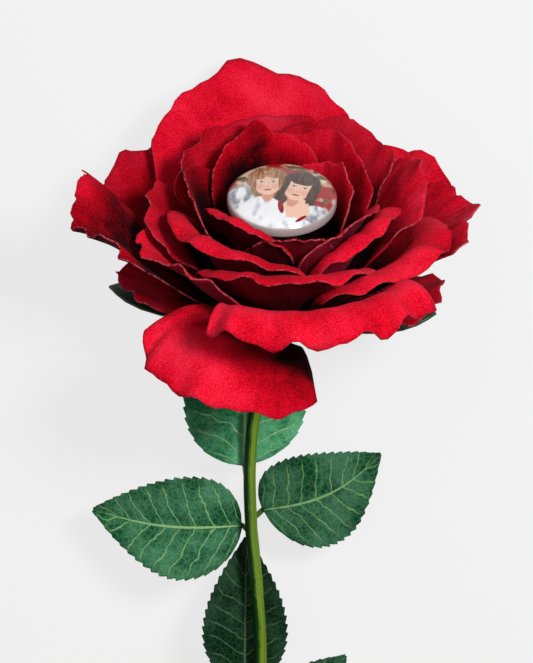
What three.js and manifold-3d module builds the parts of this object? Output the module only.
// A full-blown artificial rose: ruffled velvet petals round a picture button, a moulded calyx,
// a wired plastic stem and two sprays of veined cloth leaves. It lies on its back as it would on a table.
import * as THREE from "three";
import { ConvexHull } from "three/addons/math/ConvexHull.js";
import { mergeVertices } from "three/addons/utils/BufferGeometryUtils.js";
import Module from "manifold-3d";

const wasm = await Module();
wasm.setup();

// Driving dimensions, in millimetres and degrees
const fitGap = 0.3;
const petalThickness = 0.45;
const petalLayerStep = 1.1;
const sepalThickness = 0.8;
const leafThickness = 0.5;
const buttonRadius = 16;
const buttonFloor = 32.2;
const shellInset = 0.9;
const faceWall = 0.6;
const headTilt = 55;
const buttonTilt = -5;
const stemLength = 361;
const stemTopRadius = 1.8;
const stemFootRadius = 2.3;
const wireRadius = 0.8;
const ribRadius = 0.6;
const rachisRadius = 1.0;
const upperCollarHeight = 275.5;
const lowerCollarHeight = 212;
const collarLength = 11;
const collarWall = 0.4;
const headOffset = new THREE.Vector3(7, stemLength, 14);

// Materials
const finish = (color, roughness, metalness = 0) =>
  new THREE.MeshStandardMaterial({ color, roughness, metalness });
const petalVelvet = finish(0xb80a24, 0.9);
const leafCloth = finish(0x1f5c38, 0.6);
const stemPlastic = finish(0x4c7a1e, 0.45);
const calyxPlastic = finish(0x234f2a, 0.5);
const coreFoam = finish(0x5a0a14, 0.9);
const shellTin = finish(0xd8d4d2, 0.3, 0.8);
const printPaper = finish(0xe9d8cc, 0.25);
const wireSteel = finish(0x8d9194, 0.4, 0.9);

const radians = THREE.MathUtils.degToRad;
const smooth = (low, high, value) => THREE.MathUtils.smoothstep(value, low, high);

// Solid builders

// A closed solid from a grid of points: two faces half a thickness either side of it, and a wall round its edge.
function sheetSolid(grid, thickness) {
  const rows = grid.length;
  const columns = grid[0].length;
  const normalAt = (i, j) => {
    const along = new THREE.Vector3().subVectors(
      grid[Math.min(i + 1, rows - 1)][j],
      grid[Math.max(i - 1, 0)][j],
    );
    const across = new THREE.Vector3().subVectors(
      grid[i][Math.min(j + 1, columns - 1)],
      grid[i][Math.max(j - 1, 0)],
    );
    return across.cross(along).normalize();
  };
  const positions = [];
  for (const side of [0.5, -0.5]) {
    for (let i = 0; i < rows; i++) {
      for (let j = 0; j < columns; j++) {
        const point = grid[i][j].clone().addScaledVector(normalAt(i, j), side * thickness);
        positions.push(point.x, point.y, point.z);
      }
    }
  }
  const index = [];
  const top = (i, j) => i * columns + j;
  const under = (i, j) => rows * columns + top(i, j);
  for (let i = 0; i + 1 < rows; i++) {
    for (let j = 0; j + 1 < columns; j++) {
      index.push(top(i, j), top(i, j + 1), top(i + 1, j + 1));
      index.push(top(i, j), top(i + 1, j + 1), top(i + 1, j));
      index.push(under(i, j), under(i + 1, j + 1), under(i, j + 1));
      index.push(under(i, j), under(i + 1, j), under(i + 1, j + 1));
    }
  }
  const border = [];
  for (let j = 0; j + 1 < columns; j++) border.push([0, j]);
  for (let i = 0; i + 1 < rows; i++) border.push([i, columns - 1]);
  for (let j = columns - 1; j > 0; j--) border.push([rows - 1, j]);
  for (let i = rows - 1; i > 0; i--) border.push([i, 0]);
  border.forEach((from, k) => {
    const to = border[(k + 1) % border.length];
    index.push(top(...from), under(...from), under(...to));
    index.push(top(...from), under(...to), top(...to));
  });
  return indexedGeometry(positions, index);
}

function indexedGeometry(positions, index) {
  const geometry = new THREE.BufferGeometry();
  geometry.setAttribute("position", new THREE.Float32BufferAttribute(positions, 3));
  geometry.setIndex(index);
  geometry.computeVertexNormals();
  return geometry;
}

// Rings of points round a line of points, each ring square to it. No path here runs along Z.
function ringsAlong(points, radiusAt, sides) {
  const last = points.length - 1;
  return points.map((centre, i) => {
    const along = new THREE.Vector3()
      .subVectors(points[Math.min(i + 1, last)], points[Math.max(i - 1, 0)])
      .normalize();
    const aside = along.clone().cross(new THREE.Vector3(0, 0, 1)).normalize();
    const above = along.clone().cross(aside);
    return Array.from({ length: sides }, (_, k) => {
      const turn = (2 * Math.PI * (k + 0.5)) / sides;
      return centre
        .clone()
        .addScaledVector(aside, radiusAt(i / last) * Math.cos(turn))
        .addScaledVector(above, radiusAt(i / last) * Math.sin(turn));
    });
  });
}

// A round rod lofted along a line of points, closed by a fan at each end.
function rodSolid(points, radiusAt, sides) {
  const rings = ringsAlong(points, radiusAt, sides);
  const positions = rings.flat().flatMap((point) => point.toArray());
  const index = wallBetweenRings(rings.length, sides, 0, false);
  const caps = [
    [0, points[0], true],
    [(rings.length - 1) * sides, points.at(-1), false],
  ];
  for (const [start, centre, flipped] of caps) {
    const middle = positions.length / 3;
    positions.push(...centre.toArray());
    for (let k = 0; k < sides; k++) {
      const pair = [start + k, start + ((k + 1) % sides)];
      if (flipped) pair.reverse();
      index.push(middle, ...pair);
    }
  }
  return indexedGeometry(positions, index);
}

// A tube lofted along a line of points: an outer wall, a bore and a flat ring at each end.
function tubeSolid(points, radiusAt, boreRadius, sides) {
  const outer = ringsAlong(points, radiusAt, sides);
  const inner = ringsAlong(points, () => boreRadius, sides);
  const positions = [...outer.flat(), ...inner.flat()].flatMap((point) => point.toArray());
  const innerStart = outer.length * sides;
  const index = [
    ...wallBetweenRings(outer.length, sides, 0, false),
    ...wallBetweenRings(inner.length, sides, innerStart, true),
  ];
  for (const [ring, flipped] of [[0, true], [outer.length - 1, false]]) {
    for (let k = 0; k < sides; k++) {
      const next = (k + 1) % sides;
      const a = ring * sides + k;
      const b = ring * sides + next;
      const quad = [a, b, innerStart + b, innerStart + a];
      if (flipped) quad.reverse();
      index.push(quad[0], quad[1], quad[2], quad[0], quad[2], quad[3]);
    }
  }
  return indexedGeometry(positions, index);
}

function wallBetweenRings(ringCount, sides, start, flipped) {
  const index = [];
  for (let i = 0; i + 1 < ringCount; i++) {
    for (let k = 0; k < sides; k++) {
      const next = (k + 1) % sides;
      const a = start + i * sides + k;
      const b = start + i * sides + next;
      const quad = [a, b, b + sides, a + sides];
      if (flipped) quad.reverse();
      index.push(quad[0], quad[1], quad[2], quad[0], quad[2], quad[3]);
    }
  }
  return index;
}

function toManifold(geometry) {
  const bare = new THREE.BufferGeometry();
  bare.setAttribute("position", geometry.getAttribute("position"));
  if (geometry.index) bare.setIndex(geometry.index);
  const merged = mergeVertices(bare, 1e-4);
  return new wasm.Manifold(
    new wasm.Mesh({
      numProp: 3,
      vertProperties: merged.attributes.position.array,
      triVerts: new Uint32Array(merged.index.array),
    }),
  );
}

function fromManifold(solid) {
  const mesh = solid.getMesh();
  return indexedGeometry(Array.from(mesh.vertProperties), Array.from(mesh.triVerts));
}

// A lathe about +Z from [radius, height] pairs that start and end on the axis.
function turned(profile, segments) {
  const outline = profile.map(([radius, height]) => new THREE.Vector2(radius, height));
  return new THREE.LatheGeometry(outline, segments).rotateX(Math.PI / 2);
}

function piece(name, geometry, material) {
  const mesh = new THREE.Mesh(geometry, material);
  mesh.name = name;
  return mesh;
}

// Petals

// Profiles of successive whorls in the half-plane through the head's axis, as Bezier [radius, height] points.
// A petal between two whorls takes a share of each, so petals of neighbouring layers can't cross.
const clawRadius = 5.6;
const clawHeight = 3;
const clawDrop = 0.8;
const whorlProfiles = [
  [[16.5, 12], [18, 29], [20, 44]],
  [[19, 10], [21.5, 28], [25, 43]],
  [[22, 8], [25, 27], [32, 42]],
  [[25, 6], [31, 25], [42, 40]],
  [[28, 3], [38, 20], [57, 35]],
  [[30, -1], [42, 13], [58, 24]],
  [[31, -5], [43, 7], [57, 14]],
  [[31, -9], [43, 2], [54, 5]],
].map((rest, whorl) => [
  [clawRadius + petalLayerStep * whorl, clawHeight - clawDrop * whorl],
  ...rest,
]);
const clawHalfAngle = 16;
const marchSteps = 40;
const petalRows = 8;
const petalHalfColumns = 4;
const sepalRows = 5;
const sepalHalfColumns = 2;

function profilePoint(layer, v) {
  const whorl = THREE.MathUtils.clamp(Math.floor(layer), 0, whorlProfiles.length - 2);
  const share = layer - whorl;
  const weights = [(1 - v) ** 3, 3 * v * (1 - v) ** 2, 3 * v ** 2 * (1 - v), v ** 3];
  const coordinate = (axis) =>
    weights.reduce(
      (sum, weight, k) =>
        sum +
        weight *
          THREE.MathUtils.lerp(
            whorlProfiles[whorl][k][axis],
            whorlProfiles[whorl + 1][k][axis],
            share,
          ),
      0,
    );
  return new THREE.Vector2(coordinate(0), coordinate(1));
}

// at: azimuth of the midline, 0 facing the foot of the stem's side, 90 to the right.
// spread: half its angle. reach: share of the whorl profile it follows. roll: how far the rim turns outwards.
// lean: how much more it rolls to the right of the midline than to the left. ruffle: swing of the roll in waves. cup: how far its sides rise.
// twist: layers that one side lies under the other. point: length of the tip. corner: how rounded its corners are.
const petals = [
  { name: "heart_front_left", layer: 0.0, at: -38, spread: 46, reach: 0.98, roll: 45, ruffle: 3, rollStart: 0.84 },
  { name: "heart_front", layer: 0.7, at: 6, spread: 40, reach: 0.88, roll: 24, ruffle: 2, rollStart: 0.8 },
  { name: "heart_right", layer: 0.25, at: 122, spread: 52, reach: 0.88, roll: 4, ruffle: 4 },
  { name: "heart_back", layer: 0.9, at: 197, spread: 52, reach: 1.0, roll: 2, point: 0.08 },
  { name: "heart_left", layer: 1.45, at: -90, spread: 44, reach: 0.97, roll: 4, ruffle: 6 },
  { name: "heart_front_right", layer: 1.33, at: 53, spread: 42, reach: 0.95, roll: 32, ruffle: 3, rollStart: 0.8 },
  { name: "second_front_left", layer: 2.0, at: -36, spread: 52, reach: 0.98, roll: 75, ruffle: 8, rollStart: 0.78 },
  { name: "second_right", layer: 1.8, at: 60, spread: 40, reach: 0.98, roll: 85, ruffle: 12, rollStart: 0.78 },
  { name: "second_back", layer: 1.65, at: 150, spread: 50, reach: 0.97, roll: 10, ruffle: 8 },
  { name: "third_right", layer: 3.45, at: 60, spread: 42, reach: 0.98, roll: 66, ruffle: 10, rollStart: 0.8 },
  { name: "third_left", layer: 2.8, at: -90, spread: 40, reach: 0.9, roll: 20, ruffle: 10 },
  { name: "third_back_left", layer: 2.3, at: -146, spread: 44, reach: 0.97, roll: 6, ruffle: 8, corner: 0.2 },
  { name: "third_back_right", layer: 2.6, at: 146, spread: 42, reach: 1.0, roll: 6, ruffle: 12, corner: 0.2 },
  { name: "fourth_front", layer: 2.9, at: 2, spread: 50, reach: 0.95, roll: 60, lean: -8, ruffle: 5, rollStart: 0.78 },
  { name: "fourth_left", layer: 3.4, at: -57, spread: 38, reach: 0.88, roll: 10, ruffle: 10 },
  { name: "fourth_right", layer: 2.95, at: 104, spread: 34, reach: 0.98, roll: 16, ruffle: 12 },
  { name: "fourth_back", layer: 3.5, at: -178, spread: 46, reach: 0.95, roll: 10, ruffle: 12 },
  { name: "outer_back", layer: 4.0, at: -172, spread: 42, reach: 1.15, roll: 0, ruffle: 8, corner: 0.62 },
  { name: "outer_back_left", layer: 4.8, at: -126, spread: 34, reach: 0.97, roll: 0, ruffle: 10, corner: 0.14 },
  { name: "outer_left", layer: 3.95, at: -81, spread: 22, reach: 1.03, roll: 0, ruffle: 10, corner: -0.03 },
  { name: "outer_back_right", layer: 4.95, at: 132, spread: 34, reach: 1.0, roll: 0, ruffle: 12, corner: 0.2 },
  { name: "outer_right", layer: 4.35, at: 92, spread: 21, reach: 0.98, roll: 0, ruffle: 10, corner: -0.03 },
  { name: "outer_front_right", layer: 4.05, at: 12, spread: 33, reach: 1.1, roll: 88, lean: -14, ruffle: 8, rollStart: 0.8, twist: 0, corner: 0.04 },
  { name: "outer_front_left", layer: 4.9, at: -22, spread: 39, reach: 0.9, roll: 60, lean: 36, ruffle: 4, rollStart: 0.38, cup: 0.4, corner: 0.12 },
  { name: "under_left", layer: 5.9, at: -90, spread: 19, reach: 0.76, roll: 10, ruffle: 8 },
  { name: "under_right", layer: 5.2, at: 68, spread: 24, reach: 0.76, roll: 20, ruffle: 8 },
  { name: "under_back_left", layer: 5.45, at: -140, spread: 34, reach: 0.88, roll: 6, ruffle: 8 },
  { name: "under_back_right", layer: 5.8, at: 150, spread: 34, reach: 0.88, roll: 6, ruffle: 8 },
].map((petal, order) => ({
  lean: 0,
  ruffle: 0,
  waves: 1.5,
  phase: 2.4 * order,
  cup: 0.15,
  twist: 0.12,
  point: 0.03,
  corner: 0.34,
  rollStart: 0.6,
  ...petal,
}));

// The petal's midline grid: for each column the whorl profile is walked in short steps that turn with the roll.
function petalGrid(petal, rows, halfColumns) {
  const columns = [];
  for (let k = -halfColumns; k <= halfColumns; k++) {
    const across = Math.sin((Math.PI / 2) * (k / halfColumns));
    columns.push(petalColumn(petal, across, rows));
  }
  return Array.from({ length: rows + 1 }, (_, i) => columns.map((column) => column[i]));
}

function petalColumn(petal, across, rows) {
  const rounded = petal.corner * (1 - Math.sqrt(Math.max(0, 1 - across ** 2)));
  const tip = petal.point * Math.exp(-((across / 0.14) ** 2));
  const length = petal.reach * (1 - rounded + tip);
  const wave = petal.ruffle * Math.sin(Math.PI * petal.waves * across + petal.phase);
  const swing = petal.roll + petal.lean * across + wave;
  const layerAt = (v) => petal.layer + petal.twist * across - petal.cup * across ** 2 * v;
  const place = profilePoint(layerAt(0), 0);
  const column = [petalPoint(petal, across, 0, place)];
  for (let step = 1; step <= marchSteps; step++) {
    const from = (length * (step - 1)) / marchSteps;
    const to = (length * step) / marchSteps;
    const rolled = Math.max(0, (step / marchSteps - petal.rollStart) / (1 - petal.rollStart));
    const chord = profilePoint(layerAt(to), to).sub(profilePoint(layerAt(from), from));
    chord.rotateAround(new THREE.Vector2(), -radians(swing) * rolled);
    place.add(chord);
    if (step % (marchSteps / rows) === 0) column.push(petalPoint(petal, across, to, place));
  }
  return column;
}

function petalPoint(petal, across, v, place) {
  const halfAngle = THREE.MathUtils.lerp(clawHalfAngle, petal.spread, smooth(0, 0.45, v));
  const azimuth = radians(petal.at + across * halfAngle);
  return new THREE.Vector3(
    place.x * Math.sin(azimuth),
    -place.x * Math.cos(azimuth),
    place.y,
  );
}

// Sepals are narrow petals of the outermost layer, joined to the calyx cup.
const sepals = [
  { at: 74, reach: 0.76, roll: 0 },
  { at: 130, reach: 0.85, roll: 0 },
  { at: -164, reach: 0.95, roll: 0 },
  { at: -92, reach: 0.86, roll: 10 },
  { at: -30, reach: 0.55, roll: 50 },
].map((sepal, order) => ({
  layer: 6.95,
  spread: 12,
  lean: 0,
  ruffle: 0,
  waves: 1,
  phase: order,
  cup: 0,
  twist: 0,
  point: 0.05,
  corner: 0.85,
  rollStart: 0.3,
  ...sepal,
}));

// The core: a foam cone that the petals' claws stand on, and a post up to the button.
const coreSocketRadius = wireRadius + fitGap;
const postTop = buttonFloor - 1;
const core = [
  [0, -3],
  [coreSocketRadius, -3],
  [coreSocketRadius, -8.8],
  [3.2, -8.8],
  [10.8, -3.7],
  [11.6, -2.1],
  [5.3, 2.6],
  [4.6, 6],
  [4.6, postTop - 2.6],
  [6, postTop],
  [0, postTop],
];

// The calyx cup: its bore takes the stem's top end and the wire passes through its floor.
const stemEndHeight = -11;
const calyxBore = stemTopRadius + fitGap;
const calyxCup = [
  [calyxBore, -19],
  [3.1, -19],
  [3.4, -14],
  [6, -10.6],
  [14, -4.4],
  [14.2, -2.9],
  [12.2, -2.6],
  [11.2, -4.0],
  [3.3, -9.2],
  [coreSocketRadius, -9.2],
  [coreSocketRadius, stemEndHeight + fitGap],
  [calyxBore, stemEndHeight + fitGap],
  [calyxBore, -19],
];

function calyxSolid() {
  const parts = sepals.map((sepal) => toManifold(sheetSolid(petalGrid(sepal, sepalRows, sepalHalfColumns), sepalThickness)));
  return fromManifold(wasm.Manifold.union([toManifold(turned(calyxCup, 20)), ...parts]));
}

// The button: a pressed tin shell, open underneath, with a printed face laid over it and a ring that holds both.
const shellRadius = buttonRadius - shellInset;
const faceBore = buttonRadius - faceWall;
const shellProfile = [
  [0, 0],
  [shellRadius - 0.9, 0],
  [shellRadius - 0.3, 0.6],
  [shellRadius, 2.4],
  [shellRadius - 1.1, 3.4],
  [shellRadius / 2, 4.2],
  [0, 4.5],
];
const faceProfile = [
  [faceBore, 0.2],
  [buttonRadius, 0.8],
  [buttonRadius, 2.6],
  [buttonRadius - 1.4, 3.9],
  [buttonRadius / 2, 4.9],
  [0, 5.2],
  [0, 4.8],
  [shellRadius / 2, 4.5],
  [faceBore - 1.2, 3.7],
  [faceBore, 2.6],
  [faceBore, 0.2],
];

// Stem

const inHead = (height) =>
  new THREE.Vector3(0, 0, height)
    .applyAxisAngle(new THREE.Vector3(1, 0, 0), -radians(headTilt))
    .add(headOffset);
const stemBends = [
  [0, 0, 0],
  [1.5, 90, 0.6],
  [-1, 170, 0],
  [0.6, 256, 0.4],
  [-2.2, 292, 0],
  [-2.5, 311, 0],
  [-0.3, 328, 0.8],
];
const stemPath = new THREE.CatmullRomCurve3([
  ...stemBends.map((point) => new THREE.Vector3(...point)),
  inHead(-24),
  inHead(-18),
  inHead(stemEndHeight),
]);
const stemPoints = stemPath.getSpacedPoints(26);
const wirePoints = [
  ...stemPoints.slice(1, -1),
  inHead(stemEndHeight - 0.2),
  inHead(stemEndHeight + 2),
  inHead(-3.4),
];
const stemRadiusAt = (share) => THREE.MathUtils.lerp(stemFootRadius, stemTopRadius, share);

// Where the stem passes a given distance from its foot.
function stemPointAt(y) {
  let share = 0;
  while (stemPath.getPointAt(share).y < y) share += 0.001;
  return { share, point: stemPath.getPointAt(share), along: stemPath.getTangentAt(share) };
}

// Leaves

// base and tip: ends of the midrib, measured along the stem from the middle of the spray's collar. bow: how far it bends aside. arch: how far its middle stands up.
// halfWidth: at the widest. fold: rise of each half. curl: wave along the margins.
const leafRows = 16;
const leafHalfColumns = 2;
const serration = 1.1;
// The lower end leaf passes behind the upper collar, and its width follows its length.
const lowerLeafStart = 31.5;
const lowerLeafPass = 14.5;
const lowerLeafEnd = upperCollarHeight - lowerCollarHeight + lowerLeafPass;
const lowerLeafSlimness = 14.2 / 46.5;
const lowerLeafHalfWidth = (lowerLeafEnd - lowerLeafStart) * lowerLeafSlimness;
const leaves = [
  { name: "upper", collar: upperCollarHeight, base: [-4.3, 34.2, -4.6], tip: [-6, 86.5, -20], bow: 1, arch: 2, halfWidth: 19, fold: 14, curl: 0.8 },
  { name: "upper_left", collar: upperCollarHeight, base: [-6.2, 16.5, -5.4], tip: [-51, 20, -12], bow: -2.5, arch: 3, halfWidth: 14.8, fold: 16, curl: 1.2 },
  { name: "upper_right", collar: upperCollarHeight, base: [1.6, 21.5, -5.4], tip: [37.6, 37.1, -9], bow: 4, arch: 3, halfWidth: 13.6, fold: 18, curl: 1.5 },
  { name: "lower", collar: lowerCollarHeight, base: [-3.2, lowerLeafStart, -5.2], tip: [-2.5, lowerLeafEnd, -11], bow: 0, arch: 1, halfWidth: lowerLeafHalfWidth, fold: 26, curl: 0.6 },
  { name: "lower_left", collar: lowerCollarHeight, base: [-4.4, 17, -5.4], tip: [-44, 35, -11], bow: -3, arch: 3, halfWidth: 14, fold: 16, curl: 1.2 },
  { name: "lower_right", collar: lowerCollarHeight, base: [6, 10, -7.5], tip: [27, 38, -15], bow: -2, arch: 1, halfWidth: 12, fold: 8, curl: 1 },
];

function leafPoint(leaf, share, across, tooth) {
  const collar = new THREE.Vector3(0, leaf.collar, 0);
  const base = new THREE.Vector3(...leaf.base).add(collar);
  const tip = new THREE.Vector3(...leaf.tip).add(collar);
  const along = tip.clone().sub(base).normalize();
  const aside = new THREE.Vector3(0, 0, 1).cross(along).normalize().negate();
  const rise = along.clone().cross(aside).negate();
  const swell = Math.sin(Math.PI * share);
  const width = leaf.halfWidth * leafOutline(share) + tooth;
  const fold = radians(leaf.fold);
  return base
    .lerp(tip, share)
    .addScaledVector(aside, leaf.bow * swell + across * width * Math.cos(fold))
    .addScaledVector(rise, leaf.arch * swell + Math.abs(across) * width * Math.sin(fold))
    .addScaledVector(rise, leaf.curl * across ** 2 * Math.sin(3 * Math.PI * share + 2 * across));
}

// Share of the full width at a share of the length: a blunt base, widest below the middle, a drawn-out tip.
function leafOutline(share) {
  return 0.03 + 2.6 * share ** 0.5 * (1 - share);
}

function leafGrid(leaf) {
  return Array.from({ length: leafRows + 1 }, (_, i) => {
    const share = i / leafRows;
    const tooth = i % 2 === 1 ? 0 : -serration * Math.sin(Math.PI * share);
    return Array.from({ length: 2 * leafHalfColumns + 1 }, (_, j) => {
      const across = j / leafHalfColumns - 1;
      return leafPoint(leaf, share, across, Math.abs(across) === 1 ? tooth : 0);
    });
  });
}

// The moulded rib runs under a leaf's midline, a fitting gap below it.
function ribPoints(leaf) {
  const drop = leafThickness / 2 + fitGap + ribRadius + 0.9;
  return [0, 0.2, 0.4, 0.6].map((share) =>
    leafPoint(leaf, share, 0, 0).add(new THREE.Vector3(0, 0, -drop)),
  );
}

// A spray's one-piece skeleton: a collar round the stem, the rachis up to the end leaf, and two side stalks.
function spraySolid(collarY, endLeaf, sideLeaves) {
  const { point, along, share } = stemPointAt(collarY);
  const collarEnds = [-0.5, 0.5].map((end) =>
    point.clone().addScaledVector(along, end * collarLength),
  );
  const bore = stemRadiusAt(share) + fitGap;
  const collar = tubeSolid(collarEnds, () => bore + collarWall, bore, 12);
  const root = point.clone().add(new THREE.Vector3(1.0, 0, -bore - 0.7));
  const endRib = ribPoints(endLeaf);
  const rachisPath = new THREE.CatmullRomCurve3([
    root,
    root.clone().lerp(endRib[0], 0.5).add(new THREE.Vector3(0.6, 0, -0.4)),
    ...endRib,
  ]);
  const taper = (thick) => (share) => THREE.MathUtils.lerp(thick, ribRadius * 0.6, share);
  const rods = [rodSolid(rachisPath.getSpacedPoints(14), taper(rachisRadius), 6)];
  for (const leaf of sideLeaves) {
    const rib = ribPoints(leaf);
    const joint = nearestOn(rachisPath, rib[0].y - 3);
    const path = new THREE.CatmullRomCurve3([joint, joint.clone().lerp(rib[0], 0.6), ...rib]);
    rods.push(rodSolid(path.getSpacedPoints(10), taper(0.9), 6));
  }
  return fromManifold(wasm.Manifold.union([collar, ...rods].map(toManifold)));
}

function nearestOn(path, y) {
  const points = path.getSpacedPoints(60);
  return points.reduce((best, point) =>
    Math.abs(point.y - y) < Math.abs(best.y - y) ? point : best,
  );
}

// Assembly in the rose's own frame: the stem runs along +Y and the head looks up and forwards.
const head = new THREE.Group();
head.position.copy(headOffset);
head.rotation.x = -radians(headTilt);
for (const petal of petals) {
  const grid = petalGrid(petal, petalRows, petalHalfColumns);
  head.add(piece(`petal_${petal.name}`, sheetSolid(grid, petalThickness), petalVelvet));
}
head.add(piece("core", turned(core, 16), coreFoam));
head.add(piece("calyx", calyxSolid(), calyxPlastic));
const button = new THREE.Group();
button.position.z = buttonFloor;
button.rotation.x = -radians(buttonTilt);
button.add(piece("button_shell", turned(shellProfile, 24), shellTin));
button.add(piece("button_face", turned(faceProfile, 24), printPaper));
head.add(button);

const rose = new THREE.Group();
rose.name = "rose";
rose.add(head);
rose.add(piece("stem", tubeSolid(stemPoints, stemRadiusAt, wireRadius + fitGap, 8), stemPlastic));
rose.add(piece("stem_wire", rodSolid(wirePoints, () => wireRadius, 6), wireSteel));
const [upper, upperLeft, upperRight, lower, lowerLeft, lowerRight] = leaves;
rose.add(piece("upper_spray", spraySolid(upperCollarHeight, upper, [upperLeft, upperRight]), stemPlastic));
rose.add(piece("lower_spray", spraySolid(lowerCollarHeight, lower, [lowerLeft, lowerRight]), stemPlastic));
for (const leaf of leaves) {
  rose.add(piece(`leaf_${leaf.name}`, sheetSolid(leafGrid(leaf), leafThickness), leafCloth));
}

// The lie on a table: the rose rests on the face of its convex hull that lies most nearly under it
// and that its centre of mass stands over.
const densities = new Map([
  [petalVelvet, 0.35],
  [leafCloth, 0.6],
  [coreFoam, 0.1],
  [shellTin, 7.8],
  [wireSteel, 7.8],
]);

function worldPoints(mesh) {
  const position = mesh.geometry.getAttribute("position");
  return Array.from({ length: position.count }, (_, i) =>
    new THREE.Vector3().fromBufferAttribute(position, i).applyMatrix4(mesh.matrixWorld),
  );
}

function centreOfMass(meshes) {
  const sum = new THREE.Vector3();
  let mass = 0;
  for (const mesh of meshes) {
    const points = worldPoints(mesh);
    const order = mesh.geometry.index?.array ?? points.keys();
    const corners = Array.from(order, (k) => points[k]);
    for (let k = 0; k + 2 < corners.length; k += 3) {
      const [a, b, c] = corners.slice(k, k + 3);
      const volume = (a.dot(b.clone().cross(c)) / 6) * (densities.get(mesh.material) ?? 0.95);
      sum.addScaledVector(a.clone().add(b).add(c), volume / 4);
      mass += volume;
    }
  }
  return sum.divideScalar(mass);
}

function restingNormal(meshes) {
  const centre = centreOfMass(meshes);
  const hull = new ConvexHull().setFromPoints(meshes.flatMap(worldPoints));
  const down = new THREE.Vector3(0, 0, -1);
  const candidates = hull.faces.filter((face) => {
    const below = centre.clone().addScaledVector(face.normal, -face.distanceToPoint(centre));
    let edge = face.edge;
    do {
      const side = edge.head().point.clone().sub(edge.tail().point);
      const toward = below.clone().sub(edge.tail().point);
      if (side.cross(toward).dot(face.normal) < 0) return false;
      edge = edge.next;
    } while (edge !== face.edge);
    return true;
  });
  return candidates.sort((a, b) => b.normal.dot(down) - a.normal.dot(down))[0].normal;
}

const meshes = [];
rose.updateMatrixWorld(true);
rose.traverse((node) => node.isMesh && meshes.push(node));
rose.quaternion.setFromUnitVectors(restingNormal(meshes), new THREE.Vector3(0, 0, -1));
const stemDirection = new THREE.Vector3(0, 1, 0).applyQuaternion(rose.quaternion);
const table = new THREE.Group();
table.add(rose);
table.rotation.z = Math.PI / 2 - Math.atan2(stemDirection.y, stemDirection.x);
table.updateMatrixWorld(true);
const bounds = new THREE.Box3().setFromPoints(meshes.flatMap(worldPoints));
const middle = bounds.getCenter(new THREE.Vector3());
table.position.set(-middle.x, -middle.y, -bounds.min.z);
export default table;
